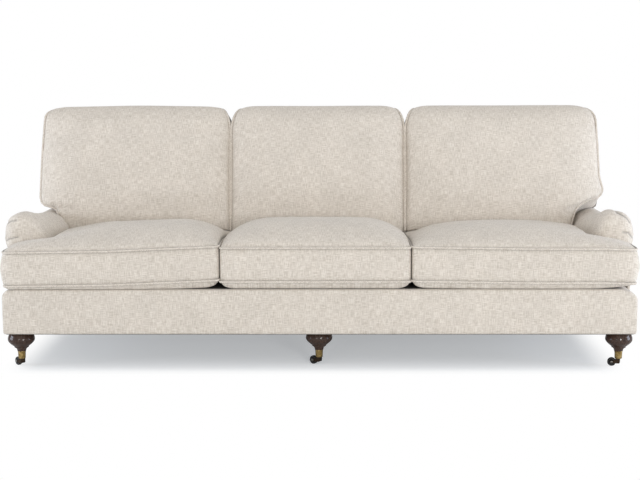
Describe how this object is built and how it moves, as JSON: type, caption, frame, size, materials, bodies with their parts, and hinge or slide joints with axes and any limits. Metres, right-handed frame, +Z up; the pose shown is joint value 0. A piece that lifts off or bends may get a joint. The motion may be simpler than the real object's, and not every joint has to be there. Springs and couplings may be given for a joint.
{
  "type": "sofa",
  "caption": "Long roll arm sofa with loose boxed T cushions, turned bun front legs on brass swivel casters and tapered rear legs.",
  "frame": {"origin": "on the floor, under the centre of the sofa's bounding box", "axes": "+Z up, +X along the sofa's length, -Y to the front, where the sitter's knees are"},
  "size_m": [2.47, 1.016, 0.9708],
  "materials": {
    "linen": "woven oatmeal linen tweed, matt",
    "cambric": "black non-woven dust cover",
    "jute": "plain woven jute webbing",
    "hardwood": "bare kiln dried hardwood",
    "lacquered_wood": "espresso stain under semi-gloss lacquer",
    "aged_brass": "aged, satin",
    "dark_bronze": "dark bronze plate, satin",
    "steel": "turned, satin",
    "wheel_rubber": "black, matt"
  },
  "bodies": {
    "root": {"rail_front": "hardwood", "rail_back": "hardwood", "rail_side_left": "hardwood", "rail_side_right": "hardwood", "rail_stretcher_left": "hardwood", "rail_stretcher_right": "hardwood", "rail_cross_left": "hardwood", "rail_cross_right": "hardwood", "leg_block_front_left": "hardwood", "leg_block_front_middle": "hardwood", "leg_block_front_right": "hardwood", "leg_block_rear_left": "hardwood", "leg_block_rear_middle": "hardwood", "leg_block_rear_right": "hardwood", "back_upright_left": "hardwood", "back_upright_right": "hardwood", "back_upright_inner_left": "hardwood", "back_upright_inner_right": "hardwood", "back_top_rail": "hardwood", "arm_post_left": "hardwood", "arm_post_right": "hardwood", "arm_rail_left": "hardwood", "arm_rail_right": "hardwood", "seat_webbing": "jute", "back_webbing": "jute", "leg_front_left": "lacquered_wood", "leg_rear_left": "lacquered_wood", "caster_socket_left": "aged_brass", "seat_cushion_left": "linen", "back_cushion_left": "linen", "leg_front_middle": "lacquered_wood", "leg_rear_middle": "lacquered_wood", "caster_socket_middle": "aged_brass", "seat_cushion_middle": "linen", "back_cushion_middle": "linen", "leg_front_right": "lacquered_wood", "leg_rear_right": "lacquered_wood", "caster_socket_right": "aged_brass", "seat_cushion_right": "linen", "back_cushion_right": "linen", "dust_cover": "cambric", "deck_pad": "linen", "front_border": "linen", "arm_pad_left": "linen", "arm_pad_right": "linen", "arm_outside_panel_left": "linen", "arm_outside_panel_right": "linen", "back_pad": "linen", "back_outside_panel": "linen"},
    "caster_swivel_left": {"caster_horn_left": "dark_bronze", "caster_axle_left": "steel"},
    "caster_roller_left": {"caster_wheel_left": "wheel_rubber"},
    "caster_swivel_middle": {"caster_horn_middle": "dark_bronze", "caster_axle_middle": "steel"},
    "caster_roller_middle": {"caster_wheel_middle": "wheel_rubber"},
    "caster_swivel_right": {"caster_horn_right": "dark_bronze", "caster_axle_right": "steel"},
    "caster_roller_right": {"caster_wheel_right": "wheel_rubber"}
  },
  "joints": [
    {"name": "swivel_left", "type": "hinge", "parent": "root", "child": "caster_swivel_left", "pos_m": [-1.157, -0.44, 0.031], "axis": [0, 0, 1], "continuous": true},
    {"name": "roll_left", "type": "hinge", "parent": "caster_swivel_left", "child": "caster_roller_left", "pos_m": [-1.17498, -0.42263, 0.01636], "axis": [0.6947, 0.7193, 0], "continuous": true},
    {"name": "swivel_middle", "type": "hinge", "parent": "root", "child": "caster_swivel_middle", "pos_m": [0, -0.415, 0.031], "axis": [0, 0, 1], "continuous": true},
    {"name": "roll_middle", "type": "hinge", "parent": "caster_swivel_middle", "child": "caster_roller_middle", "pos_m": [-0.0212, -0.40175, 0.01636], "axis": [0.5299, 0.848, 0], "continuous": true},
    {"name": "swivel_right", "type": "hinge", "parent": "root", "child": "caster_swivel_right", "pos_m": [1.157, -0.44, 0.031], "axis": [0, 0, 1], "continuous": true},
    {"name": "roll_right", "type": "hinge", "parent": "caster_swivel_right", "child": "caster_roller_right", "pos_m": [1.13274, -0.43395, 0.01636], "axis": [0.2419, 0.9703, 0], "continuous": true}
  ]
}
